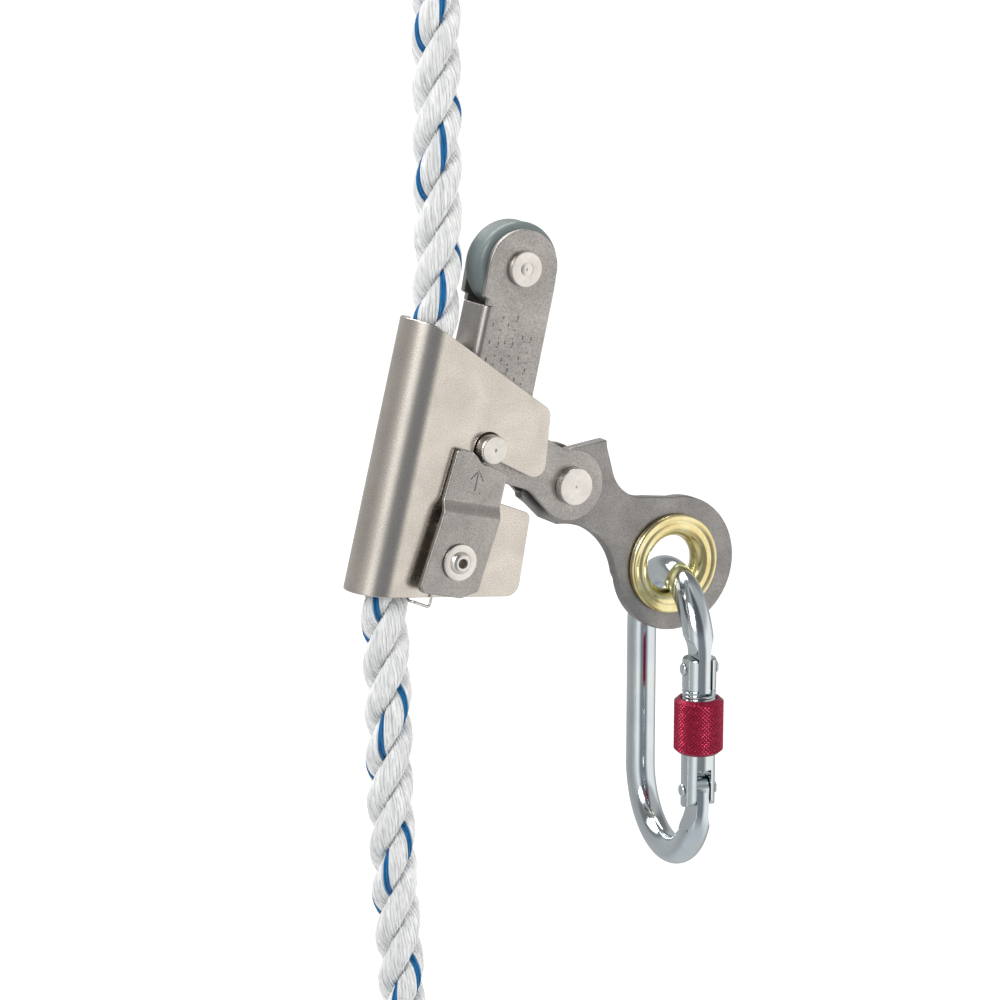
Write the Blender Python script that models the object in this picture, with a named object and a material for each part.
"""An openable rope grab on a 14 mm three-strand rope, with its arm, link, eyelet and screwgate karabiner.

Metres, +Z up. The origin is in the middle of the housing's rope channel. +X points from the rope to the
karabiner, and the latch is on the -Y face. The housing leans with the rope, so it has a frame of its own:
u runs away from the rope, w runs up the channel. Lengths below are in millimetres times MM.
"""

import math

import bmesh
import bpy
from mathutils import Matrix, Vector

MM = 0.001
GAP = 0.3  # between pieces that touch
ROUND = 40  # sides of a large turned piece
SMALL_ROUND = 24  # sides of a pin

# Housing: a bent sheet, in its own (u, w)
TILT = 14.0  # degrees that the channel leans to +X
SHEET = 2.0
BEND_OUT = 10.0  # outer radius of the bend round the rope
BEND_IN = BEND_OUT - SHEET
HOUSING_TOP = 40.0
HOUSING_LOW = -45.65  # lower edge at the bend
BEYOND = 14.0  # any distance beyond the bend or the faces, for outlines and cutters
PIN_AT = (22.6, 5.8)  # main pin
SEAT_R = 4.9
LATCH_AT = (17.8, -29.5)  # latch rivet

# Latch
LATCH_SHEET = 2.0
LATCH_UPPER = 10.4  # inner face of the upper part, from the middle plane
LATCH_LOWER = 12.9
RIVET_R = 2.9
RIVET_BORE = 1.5
SPRING_COIL_R = 4.4
SPRING_WIRE_R = 0.45

# Arm: a channel, in (u, w) from the main pin
ARM_OUT = 7.5  # outer face of a cheek from the middle plane
ARM_IN = 5.5
ROLLER_FROM_PIN = (0.4, 55.5)
LINK_FROM_PIN = (34.1, -7.6)
MAIN_PIN_R = 4.5
MAIN_PIN_HALF = 14.0
ROLLER_R = 14.0
ROLLER_HALF = 5.2
AXLE_R = 2.9
LINK_PIN_R = 4.0
CAM_REACH = 13.8
CAM_TEETH, TOOTH_PITCH, TOOTH_DEPTH = 5, 2.2, 0.9
DOWEL_FROM_PIN = (-6.2, -3.6)
DOWEL_R = 1.25

# Link, from the link pin
LINK_HALF = 2.0
EYELET_FROM_LINK = (41.1, -31.2)
BIG_END_AT = (42.6, -31.5)
BIG_END_R = 21.9
EYELET_THROAT = 8.8
EYELET_FLANGE = 16.4

# Karabiner, from the middle of its upper bow
BOW_FROM_EYELET = (0.9, -26.5)
KARABINER_TURN = -9.0  # degrees about Z
BOW_R = 23.0
ROD_R = 4.8
SPINE = 46.7  # length of the straight side
GATE_HINGE_Z = -43.0
GATE_R = 5.45
GATE_TOP = 43.6  # above the hinge
NOSE_PIN_Z = 40.1  # above the hinge
SLOT_HALF = 2.45
HINGE_PIN_R = 1.35
PLUNGER_R = 2.0
PLUNGER_TOP, BORE_TOP = 13.0, 28.7  # above the hinge
TONGUE_HALF = 2.1
SLEEVE_R = 8.0
SLEEVE_LOW, SLEEVE_HIGH = 12.5, 30.5  # above the hinge

# Rope
ROPE_R = 7.2
EYE_LEGS = (11.3, 26.7)  # x of the two legs under the eye
EYE_AT = (19.0, 224.0)
EYE_R = 28.5
FERRULE_LOW, FERRULE_HIGH = 150.0, 172.0
ROPE_END_Z = -206.0


# Materials

def material(name, colour, roughness, metallic):
    made = bpy.data.materials.new(name)
    made.use_nodes = True
    shader = made.node_tree.nodes["Principled BSDF"]
    shader.inputs["Base Color"].default_value = (*colour, 1.0)
    shader.inputs["Roughness"].default_value = roughness
    shader.inputs["Metallic"].default_value = metallic
    return made


FINISHES = {
    "satin_steel": ((0.62, 0.58, 0.54), 0.38, 1.0),
    "pickled_steel": ((0.46, 0.45, 0.44), 0.5, 1.0),
    "bright_steel": ((0.78, 0.77, 0.75), 0.22, 1.0),
    "zinc": ((0.66, 0.70, 0.74), 0.15, 1.0),
    "brass": ((0.80, 0.62, 0.25), 0.22, 1.0),
    "anodised_crimson": ((0.45, 0.02, 0.07), 0.35, 0.8),
    "grey_plastic": ((0.33, 0.36, 0.35), 0.45, 0.0),
    "white_rope": ((0.82, 0.84, 0.85), 0.8, 0.0),
    "black_sleeve": ((0.03, 0.03, 0.035), 0.55, 0.0),
}


# Outlines: lists of (a, b) in millimetres, counter-clockwise

def arc(centre, radius, start, end, steps):
    """Points on a circle from start to end degrees."""
    points = []
    for i in range(steps + 1):
        angle = math.radians(start + (end - start) * i / steps)
        points.append((centre[0] + radius * math.cos(angle), centre[1] + radius * math.sin(angle)))
    return points


def circle(centre, radius, steps):
    return arc(centre, radius, 0, 360, steps)[:-1]


def box_outline(low, high):
    return [(low[0], low[1]), (high[0], low[1]), (high[0], high[1]), (low[0], high[1])]


def rounded(corners, steps=4):
    """An outline whose corners (a, b) stay sharp and (a, b, radius) become arcs."""
    points = []
    for i, corner in enumerate(corners):
        if len(corner) == 2:
            points.append(corner)
            continue
        here = Vector(corner[:2])
        back = (Vector(corners[i - 1][:2]) - here).normalized()
        ahead = (Vector(corners[(i + 1) % len(corners)][:2]) - here).normalized()
        half = back.angle(ahead) / 2
        centre = here + (back + ahead).normalized() * corner[2] / math.sin(half)
        start = here + back * corner[2] / math.tan(half) - centre
        turn = start.angle_signed(here + ahead * corner[2] / math.tan(half) - centre)
        for k in range(steps + 1):
            point = centre + Matrix.Rotation(-turn * k / steps, 2) @ start
            points.append((point.x, point.y))
    return points


def smooth(points, steps):
    """A Catmull-Rom curve through the points."""
    knots = [Vector(p) for p in points]
    knots = [2 * knots[0] - knots[1]] + knots + [2 * knots[-1] - knots[-2]]
    line = []
    for i in range(1, len(knots) - 2):
        p0, p1, p2, p3 = knots[i - 1 : i + 3]
        for k in range(steps):
            t = k / steps
            line.append(
                0.5 * (2 * p1 + (p2 - p0) * t + (2 * p0 - 5 * p1 + 4 * p2 - p3) * t**2
                       + (3 * p1 - p0 - 3 * p2 + p3) * t**3)
            )
    return line + [knots[-2]]


# Solids

def empty(name, parent=None, place=(0, 0, 0), turn_y=0.0, turn_z=0.0):
    made = bpy.data.objects.new(name, None)
    made.location = Vector(place) * MM
    made.rotation_euler = (0, math.radians(turn_y), math.radians(turn_z))
    made.parent = parent
    bpy.context.collection.objects.link(made)
    return made


def finish(bm, name, finish_name, parent, place=(0, 0, 0)):
    """Links a bmesh as a named object, shaded smooth except at its edges."""
    bmesh.ops.recalc_face_normals(bm, faces=bm.faces)
    mesh = bpy.data.meshes.new(name)
    bm.to_mesh(mesh)
    bm.free()
    mesh.shade_smooth()
    mesh.set_sharp_from_angle(angle=math.radians(35))
    made = bpy.data.objects.new(name, mesh)
    made.location = Vector(place) * MM
    made.parent = parent
    bpy.context.collection.objects.link(made)
    if finish_name is None:
        made.hide_render = True
        made.display_type = "WIRE"
    else:
        mesh.materials.append(MATERIALS[finish_name])
    return made


def extruded(loops, low, high, along="Y"):
    """A bmesh of an outline with holes, from low to high along an axis."""
    flat = bmesh.new()
    for loop in loops:
        verts = [flat.verts.new((a, b, 0)) for a, b in loop]
        for i, vert in enumerate(verts):
            flat.edges.new((vert, verts[(i + 1) % len(verts)]))
    flat.verts.index_update()
    filled = bmesh.ops.triangle_fill(flat, edges=flat.edges[:], use_beauty=True)["geom"]
    faces = [[v.index for v in f.verts] for f in filled if isinstance(f, bmesh.types.BMFace)]
    points = [v.co.copy() for v in flat.verts]
    flat.free()

    def lift(point, depth):
        order = {"X": (depth, point.x, point.y), "Y": (point.x, depth, point.y), "Z": (point.x, point.y, depth)}
        return Vector(order[along]) * MM

    bm = bmesh.new()
    near = [bm.verts.new(lift(p, low)) for p in points]
    far = [bm.verts.new(lift(p, high)) for p in points]
    for face in faces:
        bm.faces.new([near[i] for i in face])
        bm.faces.new([far[i] for i in reversed(face)])
    first = 0
    for loop in loops:
        for i in range(len(loop)):
            j = (i + 1) % len(loop)
            bm.faces.new([near[first + i], near[first + j], far[first + j], far[first + i]])
        first += len(loop)
    return bm


def turned(profile, sides, along="Y", closed=False):
    """A bmesh of a profile of (radius, height) turned round an axis; closed profiles make rings."""
    bm = bmesh.new()
    rings = []
    for radius, height in profile:
        ring = []
        for i in range(1 if radius == 0 else sides):
            angle = 2 * math.pi * i / sides
            a, b = radius * math.cos(angle), radius * math.sin(angle)
            place = {"X": (height, a, b), "Y": (a, height, b), "Z": (a, b, height)}[along]
            ring.append(bm.verts.new(Vector(place) * MM))
        rings.append(ring)
    pairs = list(zip(rings, rings[1:] + rings[:1])) if closed else list(zip(rings, rings[1:]))
    for one, two in pairs:
        for i in range(sides):
            j = (i + 1) % sides
            quad = [one[i % len(one)], one[j % len(one)], two[j % len(two)], two[i % len(two)]]
            bm.faces.new(list(dict.fromkeys(quad)))
    return bm


def pin_profile(radius, half, chamfer=0.4):
    return [(0, -half), (radius - chamfer, -half), (radius, -half + chamfer),
            (radius, half - chamfer), (radius - chamfer, half), (0, half)]


def swept(line, radius, sides):
    """A bmesh of a round wire along a line of millimetre points, with flat ends."""
    bm = bmesh.new()
    rings = []
    points = [Vector(p) for p in line]
    normal = None
    for i, point in enumerate(points):
        ahead = (points[min(i + 1, len(points) - 1)] - points[max(i - 1, 0)]).normalized()
        if normal is None:
            normal = ahead.orthogonal().normalized()
        normal = (normal - ahead * normal.dot(ahead)).normalized()
        side = ahead.cross(normal)
        ring = []
        for k in range(sides):
            angle = 2 * math.pi * k / sides
            ring.append(bm.verts.new((point + (normal * math.cos(angle) + side * math.sin(angle)) * radius) * MM))
        rings.append(ring)
    for one, two in zip(rings, rings[1:]):
        for k in range(sides):
            j = (k + 1) % sides
            bm.faces.new([one[k], one[j], two[j], two[k]])
    bm.faces.new(rings[0])
    bm.faces.new(rings[-1])
    return bm


def combine(target, operation, other):
    step = target.modifiers.new(other.name, "BOOLEAN")
    step.operation = operation
    step.object = other
    step.solver = "EXACT"


def cut(target, bm, operation="DIFFERENCE"):
    """Cuts, joins or intersects target with a helper made in target's own frame."""
    helper = finish(bm, target.name + "_tool", None, target.parent, target.location / MM)
    combine(target, operation, helper)


# Housing

def housing_outline():
    seat = arc(PIN_AT, SEAT_R, -43, 180, 12)
    start = [(-BEYOND, HOUSING_LOW), (44.2, -38.3, 4.5), (42.5, -12.2, 2.2), (17.7, -8.5, 4.4)]
    upper = [(45.0, -2.4, 4.0), (41.9, 20.4, 3.5), (-4.6, HOUSING_TOP), (-BEYOND, HOUSING_TOP)]
    return rounded(start + list(reversed(seat)) + upper)


def make_housing(frame):
    reach = 60.0
    outer = [(reach, -BEND_OUT)] + list(reversed(arc((0, 0), BEND_OUT, 90, 270, 20))) + [(reach, BEND_OUT)]
    inner = [(reach, BEND_IN)] + arc((0, 0), BEND_IN, 90, 270, 20) + [(reach, -BEND_IN)]
    shell = finish(extruded([outer + inner], -60, 60, "Z"), "housing_shell", "satin_steel", frame)
    holes = [housing_outline(), circle(LATCH_AT, RIVET_R + GAP, SMALL_ROUND)]
    cut(shell, extruded(holes[:1], -BEYOND, BEYOND), "INTERSECT")
    cut(shell, extruded(holes[1:], -BEYOND, 0))


def make_latch_rivet(frame):
    bore = RIVET_BORE
    head, flange, top = BEND_IN - GAP, LATCH_LOWER + LATCH_SHEET + GAP, 17.2
    profile = [(bore, -6.7), (4.2, -6.7), (4.6, -7.1), (4.6, -head), (RIVET_R, -head), (RIVET_R, -flange),
               (5.5, -flange), (5.5, -flange - 0.5), (3.7, -flange - 0.8), (3.4, -16.7), (2.6, -top), (bore, -top)]
    place = (LATCH_AT[0], 0, LATCH_AT[1])
    finish(turned(profile, SMALL_ROUND, closed=True), "latch_rivet", "bright_steel", frame, place)


def make_latch_spring(frame):
    """A coil round the rivet between plate and latch. One leg hooks under the plate's lower edge."""
    wire = SPRING_WIRE_R
    low, high = -BEND_OUT - GAP - wire, -LATCH_LOWER + GAP + wire
    inside = -BEND_IN + GAP + wire
    line = [(-10.8, inside, -11.2), (-10.8, inside, -13.6), (-10.8, inside - 0.6, -14.4)]
    line += [(-10.7, low + 0.6, -14.6), (-10.2, low, -14.6), (-5.4, low, -15.4)]
    line += [(-4.7, low, -15.0), (-4.4, low, -14.2)]
    steps = 24
    for i in range(steps + 1):
        angle = math.radians(180 - 360 * i / steps)
        place = (SPRING_COIL_R * math.cos(angle), low + (high - low) * i / steps, SPRING_COIL_R * math.sin(angle))
        line.append(place)
    line += [(-SPRING_COIL_R - 1.5, high, 10.0)]
    place = (LATCH_AT[0], 0, LATCH_AT[1])
    finish(swept(line, wire, 8), "latch_spring", "bright_steel", frame, place)


# Latch

def latch_outline():
    """From the rivet. Its upper edge right of the main pin is an arc round the rivet, so it swings clear."""
    pin = (PIN_AT[0] - LATCH_AT[0], PIN_AT[1] - LATCH_AT[1])
    clear = math.hypot(*pin) - MAIN_PIN_R - 0.5
    hug = arc(pin, MAIN_PIN_R + 0.6, 258, 216, 5)
    top = arc((0, 0), clear, 67, 82, 4)
    corners = [(3.5, -11.0, 2.0), (9.0, -8.2, 1.5), (11.9, 18.4), *top, *hug]
    corners += [(-1.6, 33.6, 1.2), (-6.9, 34.0, 1.4), (-8.4, 16.2), (-11.6, -10.9, 2.0)]
    return rounded(corners)


def make_latch(hinge):
    step_high, step_low = 18.3, 14.6  # heights of the jog above the rivet
    out_high, out_low = LATCH_UPPER + LATCH_SHEET, LATCH_LOWER + LATCH_SHEET
    section = [(-out_low, -30), (-LATCH_LOWER, -30), (-LATCH_LOWER, step_low + 1), (-LATCH_UPPER, step_high + 1),
               (-LATCH_UPPER, 60), (-out_high, 60), (-out_high, step_high), (-out_low, step_low)]
    plate = finish(extruded([section], -30, 30, "X"), "latch_plate", "pickled_steel", hinge)
    hole = circle((0, 0), RIVET_R + GAP, SMALL_ROUND)
    cut(plate, extruded([latch_outline(), hole], -20, -6), "INTERSECT")


# Arm, from the main pin

def arm_outline():
    roller, link = ROLLER_FROM_PIN, LINK_FROM_PIN
    end = arc(roller, 12.0, 0, 180, 14)
    left = [(-11.0, 44.8), (-9.4, 44.4), (-9.4, 42.4), (-10.3, 42.0), (-9.7, 24.0)]
    foot = arc((0, 0), 9.7, 180, 272, 8)
    under = [(11.1, -10.4), (19.4, -11.3, 8.0)]
    ring = arc(link, 11.3, 235, 472, 18)
    right = [(14.0, 8.0, 7.0), (13.2, 17.8), (12.7, 51.0)]
    return rounded(end + left + foot + under + ring + right)


def make_arm(hinge):
    roller, link = ROLLER_FROM_PIN, LINK_FROM_PIN
    holes = [circle((0, 0), MAIN_PIN_R + GAP, SMALL_ROUND), circle(roller, AXLE_R + GAP, SMALL_ROUND)]
    holes += [circle(link, LINK_PIN_R + GAP, SMALL_ROUND), circle(DOWEL_FROM_PIN, DOWEL_R + GAP, 16)]
    arm = finish(extruded([arm_outline(), *holes], -ARM_OUT, ARM_OUT), "arm_channel", "pickled_steel", hinge)
    web = -8.3  # inner face of the web
    hollow = [(-40, -70), (120, -70), (120, 90), (-40, 90), (-40, 42.0), (web, 42.0), (web, 9.9), (-40, 9.9)]
    cut(arm, extruded([hollow], -ARM_IN, ARM_IN))


def cam_outline():
    """A hub round the main pin with a toothed face towards the rope."""
    face = []
    for i in range(CAM_TEETH):
        height = 1.8 - TOOTH_PITCH * i
        face += [(-CAM_REACH, height), (-CAM_REACH + TOOTH_DEPTH, height - 1.5)]
    return arc((0, 0), 8.3, -105, 110, 16) + face + [(-CAM_REACH, -9.2), (-11.2, -10.6)]


def make_arm_pieces(hinge):
    finish(turned(pin_profile(MAIN_PIN_R, MAIN_PIN_HALF, 0.5), 32), "main_pin", "bright_steel", hinge)
    holes = [circle((0, 0), MAIN_PIN_R + GAP, SMALL_ROUND), circle(DOWEL_FROM_PIN, DOWEL_R + GAP, 16)]
    half = ARM_IN - GAP
    finish(extruded([cam_outline(), *holes], -half, half), "cam", "pickled_steel", hinge)
    place = (DOWEL_FROM_PIN[0], 0, DOWEL_FROM_PIN[1])
    finish(turned(pin_profile(DOWEL_R, 7.6, 0.2), 16), "cam_dowel", "bright_steel", hinge, place)
    place = (ROLLER_FROM_PIN[0], 0, ROLLER_FROM_PIN[1])
    axle = headed(AXLE_R, 5.5, ARM_OUT + GAP, 1.5)
    finish(turned(axle, SMALL_ROUND), "roller_axle", "bright_steel", hinge, place)
    place = (LINK_FROM_PIN[0], 0, LINK_FROM_PIN[1])
    finish(turned(headed(LINK_PIN_R, 5.9, ARM_OUT + GAP, 2.5), 32), "link_pin", "bright_steel", hinge, place)
    low, high = LINK_HALF + GAP, ARM_IN - GAP
    inner, outer = LINK_PIN_R + GAP, 8.0
    for name, side in (("link_spacer_front", -1), ("link_spacer_back", 1)):
        ring = [(inner, side * low), (outer, side * low), (outer, side * high), (inner, side * high)]
        finish(turned(ring, SMALL_ROUND, closed=True), name, "bright_steel", hinge, place)


def headed(stem, head, inner, height):
    """The profile of a rivet with a head on both sides."""
    half = [(stem, inner), (head, inner), (head, inner + height - 0.5), (head - 0.6, inner + height)]
    low = [(r, -h) for r, h in reversed(half)]
    return [(0, -inner - height)] + low + half + [(0, inner + height)]


def make_roller(axis):
    bore, lip = 5.0, 2.2
    half = ROLLER_HALF
    corner = arc((ROLLER_R - lip, half - lip), lip, 0, 90, 4)
    profile = [(bore, -half)] + [(r, -h) for r, h in reversed(corner)] + corner + [(bore, half)]
    finish(turned(profile, ROUND, closed=True), "guide_roller", "grey_plastic", axis)
    inner, outer = AXLE_R + GAP, bore - GAP
    ring = [(inner, -half), (outer, -half), (outer, half), (inner, half)]
    finish(turned(ring, SMALL_ROUND, closed=True), "roller_bush", "bright_steel", axis)


# Link, from its pin

def link_outline():
    under = arc((-2.0, -35.5), 22.1, 90, 8, 12)
    big_end = arc(BIG_END_AT, BIG_END_R, 188, 455, 34)
    waist = arc((31.0, 4.4), 12.8, 270, 190, 10)
    back = arc((0, 0), 10.2, 84, 160, 8)
    horn = [(16.4, 9.6), (16.3, 11.9, 0.8), (13.4, 11.6)]
    claw = [(-15.4, -1.5, 0.8), (-15.0, -3.6, 0.8), (-12.1, -5.9), (-7.1, -11.0)]
    return rounded(under + big_end + waist + horn + back + claw)


def make_link(hinge):
    holes = [circle((0, 0), LINK_PIN_R + 0.35, SMALL_ROUND), circle(EYELET_FROM_LINK, 12.6, ROUND)]
    finish(extruded([link_outline(), *holes], -LINK_HALF, LINK_HALF), "link_plate", "pickled_steel", hinge)


def make_eyelet(axis):
    """A brass ring with a rounded throat and a flange on each side of the link."""
    face = LINK_HALF + GAP
    edge = 13.0
    throat = [(edge - (edge - EYELET_THROAT) * math.cos(a), 4.3 * math.sin(a))
              for a in [math.radians(-90 + 18 * i) for i in range(11)]]
    flange = [(15.0, 4.1), (EYELET_FLANGE, 3.3), (EYELET_FLANGE, face), (12.3, face)]
    profile = throat + flange + [(r, -h) for r, h in reversed(flange)]
    finish(turned(profile, ROUND, closed=True), "eyelet", "brass", axis)


# Karabiner, from the middle of its upper bow: y across, z up, the gate on the -Y side

def karabiner_line():
    top = arc((0, 0), BOW_R, 177, 0, 24)
    bottom = arc((0, -SPINE), BOW_R, 0, -174.4, 24)
    return [(0, y, z) for y, z in top + bottom]


def tongue(low, high, half, top_round):
    """The outline in (y, z) of the flat end of the rod that goes into the gate's slot."""
    y = -BOW_R
    if top_round:
        return [(y - half, low), (y + half, low)] + arc((y, high), half, 0, 180, 10)
    return rounded([(y - half, low, 1.2), (y + half, low, 1.2), (y + half, high), (y - half, high)])


def make_karabiner(frame):
    body = finish(swept(karabiner_line(), ROD_R, 16), "karabiner_body", "zinc", frame)
    hinge = (-BOW_R, GATE_HINGE_Z)
    nose = tongue(-10.5, 3.2, 4.5, False)
    cut(body, extruded([nose], -TONGUE_HALF, TONGUE_HALF, "X"), "UNION")
    heel = tongue(GATE_HINGE_Z - 7.4, GATE_HINGE_Z, 4.45, True)
    cut(body, extruded([heel], -TONGUE_HALF, TONGUE_HALF, "X"), "UNION")
    cut(body, extruded([circle(hinge, HINGE_PIN_R + GAP, 16)], -4, 4, "X"))
    catch = (-BOW_R, GATE_HINGE_Z + NOSE_PIN_Z)
    room = HINGE_PIN_R + 0.4
    notch = arc(catch, room, 90, 270, 8) + [(catch[0] + 9, catch[1] - room), (catch[0] + 9, catch[1] + room)]
    cut(body, extruded([notch], -4, 4, "X"))
    place = (0, -BOW_R, GATE_HINGE_Z)
    finish(turned(gate_pin(), 16, "X"), "gate_hinge_pin", "bright_steel", frame, place)


def gate_pin():
    """A cross pin with a low dome on each end."""
    inner = GATE_R + 0.2
    dome = [(HINGE_PIN_R, inner), (2.0, inner), (1.7, inner + 0.5), (0.9, inner + 0.8)]
    return [(0, -inner - 0.9)] + [(r, -h) for r, h in reversed(dome)] + dome + [(0, inner + 0.9)]


def make_gate(hinge):
    barrel = turned([(0, -9), (GATE_R, -9), (GATE_R, GATE_TOP - 0.8), (GATE_R - 0.8, GATE_TOP), (0, GATE_TOP)],
                    32, "Z")
    gate = finish(barrel, "gate", "zinc", hinge)
    side = [(GATE_R + 1, 0.4), (GATE_R + 1, 60), (-GATE_R - 1, 60), (-GATE_R - 1, 0.4)]
    heel = side + arc((0, 0), GATE_R - 0.02, 175.6, 364.4, 16)
    cut(gate, extruded([heel], -9, 9, "X"), "INTERSECT")
    top_slot = box_outline((-9, GATE_TOP - 11.8), (9, 60))
    cut(gate, extruded([top_slot], -SLOT_HALF, SLOT_HALF, "X"))
    low_slot = box_outline((-9, -20), (9, 7.4))
    cut(gate, extruded([low_slot], -SLOT_HALF, SLOT_HALF, "X"))
    cut(gate, extruded([circle((0, 0), HINGE_PIN_R + GAP, 16)], -9, 9, "X"))
    cut(gate, extruded([circle((0, NOSE_PIN_Z), HINGE_PIN_R + GAP, 16)], -9, 9, "X"))
    cut(gate, turned([(0, 5), (PLUNGER_R + GAP, 5), (PLUNGER_R + GAP, BORE_TOP), (0, BORE_TOP)], 20, "Z"))
    finish(turned(gate_pin(), 16, "X"), "gate_nose_pin", "bright_steel", hinge, (0, 0, NOSE_PIN_Z))
    tip = 4.45 + GAP
    plunger = [(0, tip), (1.2, tip + 0.3), (PLUNGER_R, tip + 1.2), (PLUNGER_R, PLUNGER_TOP), (0, PLUNGER_TOP)]
    finish(turned(plunger, 16, "Z"), "gate_plunger", "bright_steel", hinge)
    turns, wire, coil = 7, 0.3, 1.5
    start, end = PLUNGER_TOP + GAP + wire, BORE_TOP - GAP - wire
    helix = []
    for i in range(turns * 10 + 1):
        angle = 2 * math.pi * i / 10
        height = start + (end - start) * i / (turns * 10)
        helix.append((coil * math.cos(angle), coil * math.sin(angle), height))
    finish(swept(helix, wire, 6), "gate_spring", "bright_steel", hinge)


def make_sleeve(hinge):
    inner, cham = GATE_R + GAP, 1.2
    low, high = SLEEVE_LOW, SLEEVE_HIGH
    profile = [(inner, low), (SLEEVE_R - cham, low), (SLEEVE_R, low + cham), (SLEEVE_R, high - cham),
               (SLEEVE_R - cham, high), (inner, high)]
    finish(turned(profile, 32, "Z", closed=True), "screw_sleeve", "anodised_crimson", hinge)


# Rope

def eye_route():
    """The route of the upper rope in (x, z): through the channel, up, round the eye and back to its ferrule."""
    legs, low, high = EYE_LEGS, FERRULE_LOW, FERRULE_HIGH
    up = [(0, 0), (4.9, 19.5), (9.6, 37), (11.3, 54), (11.5, 78), (11.3, 105), (11.2, 132), (legs[0], low)]
    up += [(legs[0], low + 10), (legs[0], high), (legs[0] - 3.2, high + 16)]
    loop = list(reversed(arc(EYE_AT, EYE_R, -20, 200, 8)))
    return up + loop + [(legs[1] + 3.2, high + 16), (legs[1], high), (legs[1], low + 10), (legs[1], low + 2)]


LOWER_ROUTE = [(0, 0), (-4.7, -19.5), (-7.6, -36), (-7.6, -54), (-6.7, -78), (-6.2, -110), (-4.5, -143),
               (-2.8, -168), (-2.4, -186), (-2.4, ROPE_END_Z)]


def make_cord(name, route, steps):
    line = smooth([(x, 0, z) for x, z in route], steps)
    curve = bpy.data.curves.new(name, "CURVE")
    curve.dimensions = "3D"
    curve.bevel_depth = ROPE_R * MM
    curve.bevel_resolution = 4
    curve.use_fill_caps = True
    spline = curve.splines.new("POLY")
    spline.points.add(len(line) - 1)
    for point, place in zip(spline.points, line):
        point.co = (*(place * MM), 1)
    made = bpy.data.objects.new(name, curve)
    curve.materials.append(MATERIALS["white_rope"])
    bpy.context.collection.objects.link(made)


def make_rope():
    start = 0.2  # each half begins this far from the middle of the channel
    upper = eye_route()
    upper[0] = (start * math.sin(math.radians(TILT)), start * math.cos(math.radians(TILT)))
    make_cord("rope_upper", upper, 3)
    lower = [(-upper[0][0], -upper[0][1])] + LOWER_ROUTE[1:]
    make_cord("rope_lower", lower, 2)
    middle = (EYE_LEGS[0] + EYE_LEGS[1]) / 2
    reach = (EYE_LEGS[1] - EYE_LEGS[0]) / 2

    def stadium(radius):
        right = arc((middle + reach, 0), radius, -90, 90, 10)
        return right + arc((middle - reach, 0), radius, 90, 270, 10)

    ferrule = extruded([stadium(ROPE_R + 2.3), stadium(ROPE_R + GAP + 0.1)], FERRULE_LOW, FERRULE_HIGH - 1, "Z")
    finish(ferrule, "rope_ferrule", "black_sleeve", None)
    outer, inner = EYE_R - ROPE_R - 0.9, EYE_R - ROPE_R - 3.4
    tip = (EYE_AT[0], FERRULE_HIGH + 20)

    def drop(radius, low):
        return arc(EYE_AT, radius, -30, 210, 26) + [(tip[0], low)]

    finish(extruded([drop(outer, tip[1]), drop(inner, tip[1] + 5)], -7, 7), "rope_thimble", "zinc", None)
    cup, wall = ROPE_R + 0.4, 1.6
    low, high = ROPE_END_Z - 2.5, ROPE_END_Z + 22
    profile = [(0, low), (cup + wall - 1.5, low), (cup + wall, low + 1.5), (cup + wall, high), (cup, high),
               (cup, ROPE_END_Z - GAP), (0, ROPE_END_Z - GAP)]
    place = (LOWER_ROUTE[-1][0], 0, 0)
    finish(turned(profile, 32, "Z"), "rope_end_cap", "black_sleeve", None, place)


def clear_scene():
    for old in list(bpy.data.objects):
        bpy.data.objects.remove(old, do_unlink=True)


clear_scene()
MATERIALS = {name: material(name, *values) for name, values in FINISHES.items()}
HOUSING = empty("housing_frame", turn_y=TILT)
make_housing(HOUSING)
make_latch_rivet(HOUSING)
make_latch_spring(HOUSING)
make_latch(empty("latch_hinge", HOUSING, (LATCH_AT[0], 0, LATCH_AT[1])))
ARM = empty("arm_hinge", HOUSING, (PIN_AT[0], 0, PIN_AT[1]))
make_arm(ARM)
make_arm_pieces(ARM)
make_roller(empty("roller_axis", ARM, (ROLLER_FROM_PIN[0], 0, ROLLER_FROM_PIN[1])))
LINK = empty("link_hinge", ARM, (LINK_FROM_PIN[0], 0, LINK_FROM_PIN[1]), turn_y=-TILT)
make_link(LINK)
EYELET = empty("eyelet_axis", LINK, (EYELET_FROM_LINK[0], 0, EYELET_FROM_LINK[1]))
make_eyelet(EYELET)
KARABINER = empty("karabiner_bow", EYELET, (BOW_FROM_EYELET[0], 0, BOW_FROM_EYELET[1]), turn_z=KARABINER_TURN)
make_karabiner(KARABINER)
GATE = empty("gate_hinge", KARABINER, (0, -BOW_R, GATE_HINGE_Z))
make_gate(GATE)
make_sleeve(GATE)
make_rope()
